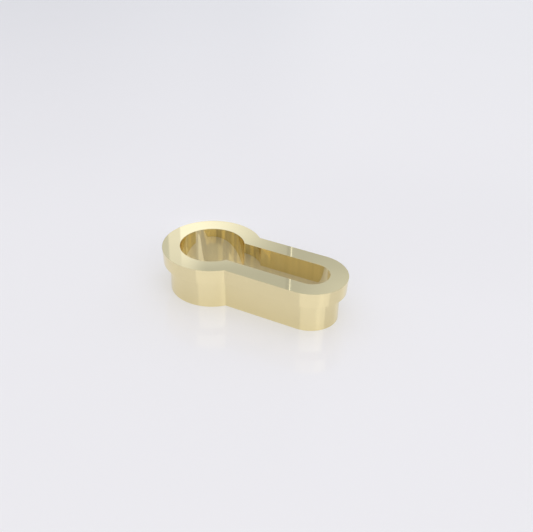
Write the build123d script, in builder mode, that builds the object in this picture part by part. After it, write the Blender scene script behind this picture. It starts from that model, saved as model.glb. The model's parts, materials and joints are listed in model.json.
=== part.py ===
"""Keyhole escutcheon: a one-piece brass liner for the keyhole of a drawer front or a cabinet door.

A flange of keyhole outline lies against the face of the wood. Below it a narrower body of the same outline
is pressed into the hole, and the keyhole runs straight through both. The origin is on the axis of the
keyhole's round head, in the plane of the foot. +X runs down the slot, and +Z points out of the wood.
"""

import os

from build123d import *

# Keyhole: a round head for the shank of the key, and a round-ended slot for its bit
head_hole_diameter = 8.0
slot_width = 4.5
slot_reach = 13.5  # from the axis of the head to the centre of the slot's round end

# Flange: the ring that shows, with sides that lean in from the top face down to the underside
flange_rim = 2.2  # width of the top face, the same all the way round the keyhole
flange_thickness = 1.9
flange_draft = 3.0  # lean of the sides, in degrees

# Body: the straight-sided sleeve below the flange, which grips the hole in the wood
body_wall = 1.3  # the same all the way round the keyhole
body_depth = 3.8  # from the underside of the flange to the foot

foot_plane = Plane.XY
top_plane = Plane.XY.offset(body_depth + flange_thickness)


def draw_keyhole(margin):
    """Adds the keyhole's outline to the open sketch, grown outwards by a margin: 0 gives the hole itself."""
    Circle(head_hole_diameter / 2 + margin)
    SlotCenterPoint((slot_reach / 2, 0), (slot_reach, 0), slot_width + 2 * margin)


with BuildPart() as keyhole_escutcheon:
    # The flange hangs from its top face, and its sides are drafted inwards below that face
    with BuildSketch(top_plane):
        draw_keyhole(flange_rim)
    extrude(amount=-flange_thickness)
    flange_sides = keyhole_escutcheon.faces().filter_by(Axis.Z, reverse=True)
    draft(flange_sides, neutral_plane=top_plane, angle=-flange_draft)

    # The body rises from the foot to the underside of the flange
    with BuildSketch(foot_plane):
        draw_keyhole(body_wall)
    extrude(amount=body_depth)

    # The keyhole is cut straight through both
    with BuildSketch(foot_plane):
        draw_keyhole(0)
    extrude(amount=body_depth + flange_thickness, mode=Mode.SUBTRACT)

keyhole_escutcheon.part.label = "keyhole_escutcheon"

os.makedirs("parts", exist_ok=True)
export_step(keyhole_escutcheon.part, "parts/keyhole_escutcheon.step")
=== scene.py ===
"""Keyhole escutcheon of polished brass, standing on its foot on a pale floor in soft studio light."""

import json
import math

import bpy
import numpy as np
from mathutils import Euler, Matrix, Vector


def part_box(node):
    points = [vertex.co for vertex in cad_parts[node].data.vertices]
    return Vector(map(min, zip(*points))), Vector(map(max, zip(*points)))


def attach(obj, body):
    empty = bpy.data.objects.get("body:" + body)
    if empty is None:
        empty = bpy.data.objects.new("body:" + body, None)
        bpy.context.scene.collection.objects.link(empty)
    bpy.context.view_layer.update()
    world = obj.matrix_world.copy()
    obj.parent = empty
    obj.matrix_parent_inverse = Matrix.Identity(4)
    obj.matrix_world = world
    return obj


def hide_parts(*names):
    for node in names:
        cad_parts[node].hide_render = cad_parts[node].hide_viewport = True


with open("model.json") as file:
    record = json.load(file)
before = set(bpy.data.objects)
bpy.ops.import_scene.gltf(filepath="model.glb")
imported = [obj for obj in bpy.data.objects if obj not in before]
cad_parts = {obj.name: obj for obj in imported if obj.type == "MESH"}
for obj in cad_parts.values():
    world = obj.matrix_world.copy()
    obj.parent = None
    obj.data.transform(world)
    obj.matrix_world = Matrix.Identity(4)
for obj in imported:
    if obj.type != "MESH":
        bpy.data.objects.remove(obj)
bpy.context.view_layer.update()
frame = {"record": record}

# The escutcheon: one casting of solid brass, milled to its outline and polished all over.
# A flange of keyhole outline lies on the face of the wood, and a narrower sleeve below it is
# pressed into the hole. The keyhole itself runs straight through both.
foot_corner, top_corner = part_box("keyhole_escutcheon")
mounts = {mount["name"]: mount for mount in frame["record"]["mounts"]}
head_radius = mounts["key_shank_hole"]["dims"]["r_mm"] / 1000
seat_height = mounts["flange_seat"]["pos_m"][2]
top_height = top_corner.z
rim_width = -foot_corner.x - head_radius
slot_half = 0.00225
slot_reach = top_corner.x - rim_width - slot_half
foot_middle = -mounts["foot"]["pos_m"][0]  # the foot's mount is half way through the sleeve's wall
sleeve_wall = 2 * (foot_middle - head_radius)
flange_lean = math.radians(3)
edge_radius = 0.00002
edge_guard = 0.00001
edge_steps = 5
head_steps = 180
end_steps = 110
side_steps = 12
crease_angle = math.radians(32)  # the least turn that stays sharp, as where the head meets the slot


def share(steps):
    """Even steps from 0 up to, but not including, 1, as a column."""
    return np.linspace(0, 1, steps, endpoint=False)[:, None]


def keyhole_outline(margin):
    """Points round the keyhole, one row per step and one column per margin that the outline is grown by.

    The head is an arc about the origin of radius head_radius + margin, from crease to crease the long way
    round. A straight side then runs to the slot's end, a half circle of radius slot_half + margin about
    (slot_reach, 0), and the other side runs back to the first crease.
    """
    head = head_radius + margin
    half = slot_half + margin
    crease = np.arcsin(half / head)
    crease_x = head * np.cos(crease)
    turn = crease + share(head_steps) * (2 * np.pi - 2 * crease)
    swing = np.pi * (share(end_steps) - 0.5)
    out = crease_x + share(side_steps) * (slot_reach - crease_x)
    back = slot_reach + share(side_steps) * (crease_x - slot_reach)
    level = np.ones((side_steps, 1))
    x = np.concatenate([head * np.cos(turn), out, slot_reach + half * np.cos(swing), back])
    y = np.concatenate([head * np.sin(turn), -half * level, half * np.sin(swing), half * level])
    return x, y


def rounded_section(corners, radii):
    """A closed section with each corner replaced by an arc of its own radius, negative where it is hollow.

    The arc's normal turns evenly from one face's normal to the next one's, about a centre that lies
    (n1 + n2) / (1 + n1.n2) radii in from the corner. One more point stands just off each end of the
    arc, so that the flat faces between the edges shade flat.
    """
    ahead = np.roll(corners, -1, axis=0) - corners
    ahead /= np.linalg.norm(ahead, axis=1, keepdims=True)
    before = np.roll(ahead, 1, axis=0)
    normal_in = np.stack([-before[:, 1], before[:, 0]], axis=1)
    normal_out = np.stack([-ahead[:, 1], ahead[:, 0]], axis=1)
    cosine = np.sum(normal_in * normal_out, axis=1, keepdims=True)
    radius = radii[:, None]
    centre = corners - (normal_in + normal_out) / (1 + cosine) * radius
    angle = np.arccos(cosine)[:, :, None]
    step = np.linspace(0, 1, edge_steps)[None, :, None]
    swing = np.sin((1 - step) * angle) * normal_in[:, None] + np.sin(step * angle) * normal_out[:, None]
    arc = centre[:, None] + radius[:, None] * swing / np.sin(angle)
    guard_in = arc[:, :1] - edge_guard * before[:, None]
    guard_out = arc[:, -1:] + edge_guard * ahead[:, None]
    return np.concatenate([guard_in, arc, guard_out], axis=1).reshape(-1, 2)


def carried_round(section):
    """The solid ring that a (margin, height) section makes when it is carried round the keyhole.

    A point at (step, k) is the outline grown by the k-th margin, at the k-th height. Both directions
    close on themselves.
    """
    x, y = keyhole_outline(section[None, :, 0])
    z = np.broadcast_to(section[None, :, 1], x.shape)
    rows, columns = x.shape
    number = np.arange(rows * columns).reshape(rows, columns)
    next_row = np.roll(number, -1, axis=0)
    next_column = np.roll(number, -1, axis=1)
    next_both = np.roll(next_row, -1, axis=1)
    quads = np.stack([number, next_row, next_both, next_column], axis=-1).reshape(-1, 4)
    return np.stack([x, y, z], axis=-1).reshape(-1, 3), quads


flange_foot = rim_width - (top_height - seat_height) * math.tan(flange_lean)
section_corners = np.array([
    (0, 0),
    (0, top_height),
    (rim_width, top_height),
    (flange_foot, seat_height),
    (sleeve_wall, seat_height),
    (sleeve_wall, 0),
])
section_radii = edge_radius * np.array([1, 1, 1, 1, -1, 1])
section = rounded_section(section_corners, section_radii)
ring_points, ring_quads = carried_round(section)
ring_mesh = bpy.data.meshes.new("polished_ring")
ring_mesh.from_pydata(ring_points.tolist(), [], ring_quads.tolist(), shade_flat=False)
ring_mesh.set_sharp_from_angle(angle=crease_angle)

# The mask of the keyhole's wall: 1 on the wall, and down to 0 across the round of its edges
bore_wall = np.clip(1 - section[:, 0] / edge_radius, 0, 1)
bore_wall = np.tile(bore_wall, len(ring_points) // len(section))
ring_mesh.attributes.new("bore_wall", "FLOAT", "POINT").data.foreach_set("value", bore_wall)
escutcheon = bpy.data.objects.new("polished_escutcheon", ring_mesh)
scene = bpy.context.scene
scene.collection.objects.link(escutcheon)

# The brass: lapped with fine lines along the slot outside, and broached from top to foot in the keyhole
brass_colour = (0.845, 0.74, 0.446, 1)
brass_relief = 0.000001
brass = bpy.data.materials.new("polished_brass")
brass.use_nodes = True
brass_nodes = brass.node_tree.nodes
brass_links = brass.node_tree.links
brass_shader = brass_nodes["Principled BSDF"]
brass_shader.inputs["Metallic"].default_value = 1.0
brass_place = brass_nodes.new("ShaderNodeTexCoord").outputs["Object"]

# A Mix node's socket names repeat for each kind of data, so its sockets are taken by number
mix_factor = 0
value_first, value_second, value_result = 2, 3, 0
colour_first, colour_second, colour_result = 6, 7, 2


def brass_noise(stretch, scale, detail):
    """Noise on the object's own coordinates, drawn out along the axes where stretch is below 1."""
    mapping = brass_nodes.new("ShaderNodeMapping")
    mapping.inputs["Scale"].default_value = stretch
    brass_links.new(brass_place, mapping.inputs["Vector"])
    noise = brass_nodes.new("ShaderNodeTexNoise")
    noise.inputs["Scale"].default_value = scale
    noise.inputs["Detail"].default_value = detail
    brass_links.new(mapping.outputs["Vector"], noise.inputs["Vector"])
    return noise.outputs["Fac"]


def brass_range(value, low, high):
    """Noise from 0.3 to 0.7 carried to the range from low to high."""
    node = brass_nodes.new("ShaderNodeMapRange")
    node.inputs["From Min"].default_value = 0.3
    node.inputs["From Max"].default_value = 0.7
    node.inputs["To Min"].default_value = low
    node.inputs["To Max"].default_value = high
    brass_links.new(value, node.inputs["Value"])
    return node.outputs["Result"]


def brass_mix(factor, first, second):
    """A value that goes from first to second as factor goes from 0 to 1."""
    node = brass_nodes.new("ShaderNodeMix")
    brass_links.new(factor, node.inputs[mix_factor])
    brass_links.new(first, node.inputs[value_first])
    brass_links.new(second, node.inputs[value_second])
    return node.outputs[value_result]


bore_attribute = brass_nodes.new("ShaderNodeAttribute")
bore_attribute.attribute_name = "bore_wall"
in_bore = bore_attribute.outputs["Fac"]
clouds = brass_noise(stretch=(1, 1, 1), scale=260, detail=3)
lapping = brass_noise(stretch=(0.03, 1, 1), scale=5200, detail=2)
broaching = brass_noise(stretch=(1, 1, 0.01), scale=1500, detail=4)

brass_tone = brass_nodes.new("ShaderNodeMix")
brass_tone.data_type = "RGBA"
brass_tone.blend_type = "MULTIPLY"
brass_tone.inputs[mix_factor].default_value = 1.0
brass_tone.inputs[colour_first].default_value = brass_colour
outer_tone = brass_range(clouds, low=0.985, high=1.015)
bore_tone = brass_range(broaching, low=0.995, high=1.06)
brass_links.new(brass_mix(in_bore, outer_tone, bore_tone), brass_tone.inputs[colour_second])
brass_links.new(brass_tone.outputs[colour_result], brass_shader.inputs["Base Color"])

outer_roughness = brass_range(lapping, low=0.015, high=0.035)
bore_roughness = brass_range(broaching, low=0.004, high=0.014)
brass_links.new(brass_mix(in_bore, outer_roughness, bore_roughness), brass_shader.inputs["Roughness"])

outer_lines = brass_range(lapping, low=0, high=0.016)
bore_lines = brass_range(broaching, low=0, high=0.05)
brass_bump = brass_nodes.new("ShaderNodeBump")
brass_bump.inputs["Distance"].default_value = brass_relief
brass_links.new(brass_mix(in_bore, outer_lines, bore_lines), brass_bump.inputs["Height"])
brass_links.new(brass_bump.outputs["Normal"], brass_shader.inputs["Normal"])
ring_mesh.materials.append(brass)

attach(escutcheon, "root")
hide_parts("keyhole_escutcheon")

# The floor: a wide board under a smooth pale lacquer, which keeps the soft shadow at the foot and a faint
# mirror image of the brass. Where it is seen, directly or in the brass, it glows a little, so that the
# background is pale, and the glow gives way to the mirror image at low angles.
floor_half = 1.5
floor_drop = 0.00001
lacquer_colour = (0.5, 0.51, 0.623, 1)
lacquer_roughness = 0.07
lacquer_index = 1.75
lacquer_index_seen = 1.37  # a fainter mirror where the camera sees the floor directly
glow_colour = (0.83, 0.79, 0.64, 1)
glow_strength = 0.49
floor_corners = floor_half * np.array([(-1, -1, 0), (1, -1, 0), (1, 1, 0), (-1, 1, 0)])
floor_corners[:, 2] = -floor_drop
floor_mesh = bpy.data.meshes.new("pale_board")
floor_mesh.from_pydata(floor_corners.tolist(), [], [(0, 1, 2, 3)])
floor = bpy.data.objects.new("pale_floor", floor_mesh)
scene.collection.objects.link(floor)
lacquer = bpy.data.materials.new("pale_lacquer")
lacquer.use_nodes = True
lacquer_nodes = lacquer.node_tree.nodes
lacquer_links = lacquer.node_tree.links
lacquer_shader = lacquer_nodes["Principled BSDF"]
lacquer_shader.inputs["Base Color"].default_value = lacquer_colour
lacquer_shader.inputs["Roughness"].default_value = lacquer_roughness
lacquer_shader.inputs["Emission Color"].default_value = glow_colour

ray_kind = lacquer_nodes.new("ShaderNodeLightPath")
seen = ray_kind.outputs["Is Camera Ray"]
for kind in ("Is Glossy Ray", "Is Transmission Ray"):
    either = lacquer_nodes.new("ShaderNodeMath")
    either.operation = "MAXIMUM"
    lacquer_links.new(seen, either.inputs[0])
    lacquer_links.new(ray_kind.outputs[kind], either.inputs[1])
    seen = either.outputs[0]

gloss = lacquer_nodes.new("ShaderNodeMapRange")
gloss.inputs["To Min"].default_value = lacquer_index
gloss.inputs["To Max"].default_value = lacquer_index_seen
lacquer_links.new(ray_kind.outputs["Is Camera Ray"], gloss.inputs["Value"])
lacquer_links.new(gloss.outputs["Result"], lacquer_shader.inputs["IOR"])
mirrored = lacquer_nodes.new("ShaderNodeFresnel")
lacquer_links.new(gloss.outputs["Result"], mirrored.inputs["IOR"])
below_mirror = lacquer_nodes.new("ShaderNodeMapRange")
below_mirror.inputs["To Min"].default_value = glow_strength
below_mirror.inputs["To Max"].default_value = 0
lacquer_links.new(mirrored.outputs[0], below_mirror.inputs["Value"])
glow = lacquer_nodes.new("ShaderNodeMath")
glow.operation = "MULTIPLY"
lacquer_links.new(seen, glow.inputs[0])
lacquer_links.new(below_mirror.outputs["Result"], glow.inputs[1])
lacquer_links.new(glow.outputs[0], lacquer_shader.inputs["Emission Strength"])
floor_mesh.materials.append(lacquer)

# The floor within the keyhole: the same board, walled in by the sleeve, without the floor's glow. In its
# place
# it glows with painted light: even at the head's end, and from there growing along the slot and towards the
# back wall, as light that comes down the keyhole would. The edge of the patch lies under the wall of the
# sleeve.
shade_colour = (0.62, 0.62, 0.66, 1)
shade_roughness = 0.01
shade_index = 2.1
painted_light_colour = (0.95, 0.91, 0.94, 1)
painted_light_level = 0.116
painted_light_growth = (6.5, 17.4, 0)  # per metre along the slot and across it
painted_light_middle = 0.00165  # the place along the slot where the light is at its level
painted_growth_start = -0.00415  # from that place, where the growth sets in
painted_growth_full = -0.00115  # from that place, where the growth is full
shade_x, shade_y = keyhole_outline(np.array([[sleeve_wall / 2]]))
shade_points = np.concatenate([shade_x, shade_y, np.full_like(shade_x, -floor_drop / 2)], axis=1)
shade_mesh = bpy.data.meshes.new("shaded_board")
shade_mesh.from_pydata(shade_points.tolist(), [], [tuple(range(len(shade_points)))])
shade = bpy.data.objects.new("shaded_floor", shade_mesh)
scene.collection.objects.link(shade)
shade_lacquer = bpy.data.materials.new("keyhole_lacquer_painted_light")
shade_lacquer.use_nodes = True
shade_nodes = shade_lacquer.node_tree.nodes
shade_links = shade_lacquer.node_tree.links
shade_shader = shade_nodes["Principled BSDF"]
shade_shader.inputs["Base Color"].default_value = shade_colour
shade_shader.inputs["Roughness"].default_value = shade_roughness
shade_shader.inputs["IOR"].default_value = shade_index
shade_shader.inputs["Emission Color"].default_value = painted_light_colour

shade_place = shade_nodes.new("ShaderNodeMapping")
shade_place.inputs["Location"].default_value = (-painted_light_middle, 0, 0)
shade_links.new(shade_nodes.new("ShaderNodeTexCoord").outputs["Object"], shade_place.inputs["Vector"])
painted_light_slope = shade_nodes.new("ShaderNodeVectorMath")
painted_light_slope.operation = "DOT_PRODUCT"
painted_light_slope.inputs[1].default_value = painted_light_growth
shade_links.new(shade_place.outputs["Vector"], painted_light_slope.inputs[0])
shade_axes = shade_nodes.new("ShaderNodeSeparateXYZ")
shade_links.new(shade_place.outputs["Vector"], shade_axes.inputs[0])
past_head = shade_nodes.new("ShaderNodeMapRange")
past_head.interpolation_type = "SMOOTHSTEP"
past_head.inputs["From Min"].default_value = painted_growth_start
past_head.inputs["From Max"].default_value = painted_growth_full
shade_links.new(shade_axes.outputs["X"], past_head.inputs["Value"])
# Painted light: the patch's glow is set by place, and grows along the slot and towards the back wall
painted_keyhole_light = shade_nodes.new("ShaderNodeMath")
painted_keyhole_light.operation = "MULTIPLY_ADD"
shade_links.new(past_head.outputs["Result"], painted_keyhole_light.inputs[0])
shade_links.new(painted_light_slope.outputs["Value"], painted_keyhole_light.inputs[1])
painted_keyhole_light.inputs[2].default_value = painted_light_level
shade_links.new(painted_keyhole_light.outputs[0], shade_shader.inputs["Emission Strength"])
shade_mesh.materials.append(shade_lacquer)

# The studio: a pale room with soft panels, placed by azimuth from +X and by elevation, in degrees.
# Each panel is laid over the ones before it, with soft edges.
world = bpy.data.worlds.new("soft_studio")
scene.world = world
world.use_nodes = True
sky = world.node_tree
direction = sky.nodes.new("ShaderNodeTexCoord").outputs["Generated"]
axes = sky.nodes.new("ShaderNodeSeparateXYZ")
sky.links.new(direction, axes.inputs[0])


def calculate(operation, *values):
    """The output of a Math node on sockets or plain numbers."""
    node = sky.nodes.new("ShaderNodeMath")
    node.operation = operation
    for socket, value in zip(node.inputs, values):
        if isinstance(value, (int, float)):
            socket.default_value = value
        else:
            sky.links.new(value, socket)
    return node.outputs[0]


def soft_span(angle, start, full, fading, end):
    """Rises smoothly from 0 at start to 1 at full, and falls from 1 at fading to 0 at end."""
    edges = []
    for zero, one in ((start, full), (end, fading)):
        edge = sky.nodes.new("ShaderNodeMapRange")
        edge.interpolation_type = "SMOOTHSTEP"
        edge.inputs["From Min"].default_value = min(zero, one)
        edge.inputs["From Max"].default_value = max(zero, one)
        edge.inputs["To Min"].default_value = float(zero > one)
        edge.inputs["To Max"].default_value = float(zero < one)
        sky.links.new(angle, edge.inputs["Value"])
        edges.append(edge.outputs["Result"])
    return calculate("MULTIPLY", *edges)


elevation = calculate("MULTIPLY", calculate("ARCSINE", axes.outputs["Z"]), math.degrees(1))
azimuth = calculate("MULTIPLY", calculate("ARCTAN2", axes.outputs["Y"], axes.outputs["X"]), math.degrees(1))

# Each panel has its colour, its span in azimuth and its span in elevation
room_colour = (0.66, 0.66, 0.67)
all_round = (-361, -360, 360, 361)
panels = {
    "overhead": ((1.15, 1.15, 1.15), all_round, (40, 80, 91, 92)),
    "far_wall": ((0.567, 0.602, 0.662), (55, 75, 150, 170), (-1, 0, 45, 55)),
    "far_wall_low_left": ((0.46, 0.49, 0.55), (122, 134, 160, 175), (-1, 0, 21, 28)),
    "far_wall_low_right": ((0.74, 0.77, 0.82), (60, 75, 110, 120), (-1, 0, 21, 27)),
    "far_wall_right": ((0.73, 0.772, 0.845), (80, 90, 109, 115.5), (30.6, 34, 45, 55)),
    "far_wall_left": ((0.69, 0.73, 0.8), (125.68, 125.76, 127.5, 131), (28, 28.6, 34, 40)),
    "window_side": ((0.945, 0.98, 1.075), (122.2, 124.5, 125.68, 125.76), (28, 28.6, 29, 37.5)),
    "far_window": ((1.22, 1.28, 1.42), (113.4, 123.6, 124.6, 124.7), (28, 28.6, 29, 32.8)),
    "window_frame": ((0.5, 0.53, 0.58), (114.6, 114.65, 114.95, 115.1), (30, 30.3, 34.5, 35)),
    "window_gap": ((1.25, 1.3, 1.4), (114.57, 114.6, 114.66, 114.69), (30, 30.3, 34.5, 35)),
    "left_gap": ((0.5, 0.5, 0.53), (-155, -145, -99, -98), (12, 20, 42, 50)),
    "right_gap": ((0.4, 0.4, 0.41), (-3, 1, 42, 50), (12, 20, 42, 50)),
    "behind_camera": ((1.85, 1.85, 1.86), (-100, -98.5, -3.5, -1), (28, 40, 42, 46)),
    "beside_camera": ((1.98, 1.98, 1.99), (-46, -36, -3.5, -1), (28, 40, 42, 46)),
    "beside_camera_strip": ((2.62, 2.62, 2.64), (-40, -30, -25, -17), (28, 40, 42, 46)),
    "right_wall": ((1.25, 1.26, 1.28), (51, 59, 61, 80), (28, 40, 42, 46)),
    "behind_camera_low": ((1.68, 1.68, 1.69), (-100, -98.5, -7.5, -4.5), (18, 24, 31.5, 34.5)),
    "beside_camera_low": ((1.95, 1.95, 1.96), (-40, -30, -7.5, -4.5), (18, 24, 31.5, 34.5)),
    "right_wall_low": ((1.27, 1.28, 1.3), (43, 50, 62, 98), (18, 24, 31.5, 34.5)),
}
light = sky.nodes.new("ShaderNodeRGB").outputs[0]
light.default_value = (*room_colour, 1)
for colour, across, upright in panels.values():
    layer = sky.nodes.new("ShaderNodeMix")
    layer.data_type = "RGBA"
    mask = calculate("MULTIPLY", soft_span(azimuth, *across), soft_span(elevation, *upright))
    sky.links.new(mask, layer.inputs[mix_factor])
    sky.links.new(light, layer.inputs[colour_first])
    layer.inputs[colour_second].default_value = (*colour, 1)
    light = layer.outputs[colour_result]
sky.links.new(light, sky.nodes["Background"].inputs["Color"])

# The camera: where the photograph was taken from, in front of the slot's side and above it.
# The walls of the keyhole mirror one another many times, so light may bounce often.
view_azimuth = math.radians(26.86)
view_elevation = math.radians(32.0)
view_roll = math.radians(1.53)
view_distance = 0.08684
view_lens = 49.42
view_start = 0.001
view_target = Vector((0.00818, -0.00111, top_height))
level_turn = Euler((math.pi / 2 - view_elevation, 0, view_azimuth)).to_matrix()
turned = level_turn @ Matrix.Rotation(view_roll, 3, "Z")
camera = bpy.data.objects.new("camera", bpy.data.cameras.new("camera"))
camera.location = view_target + turned @ Vector((0, 0, view_distance))
camera.rotation_euler = turned.to_euler()
camera.data.lens = view_lens
camera.data.clip_start = view_start
scene.collection.objects.link(camera)
scene.camera = camera
scene.view_settings.view_transform = "Standard"
scene.cycles.max_bounces = 24
scene.cycles.glossy_bounces = 20
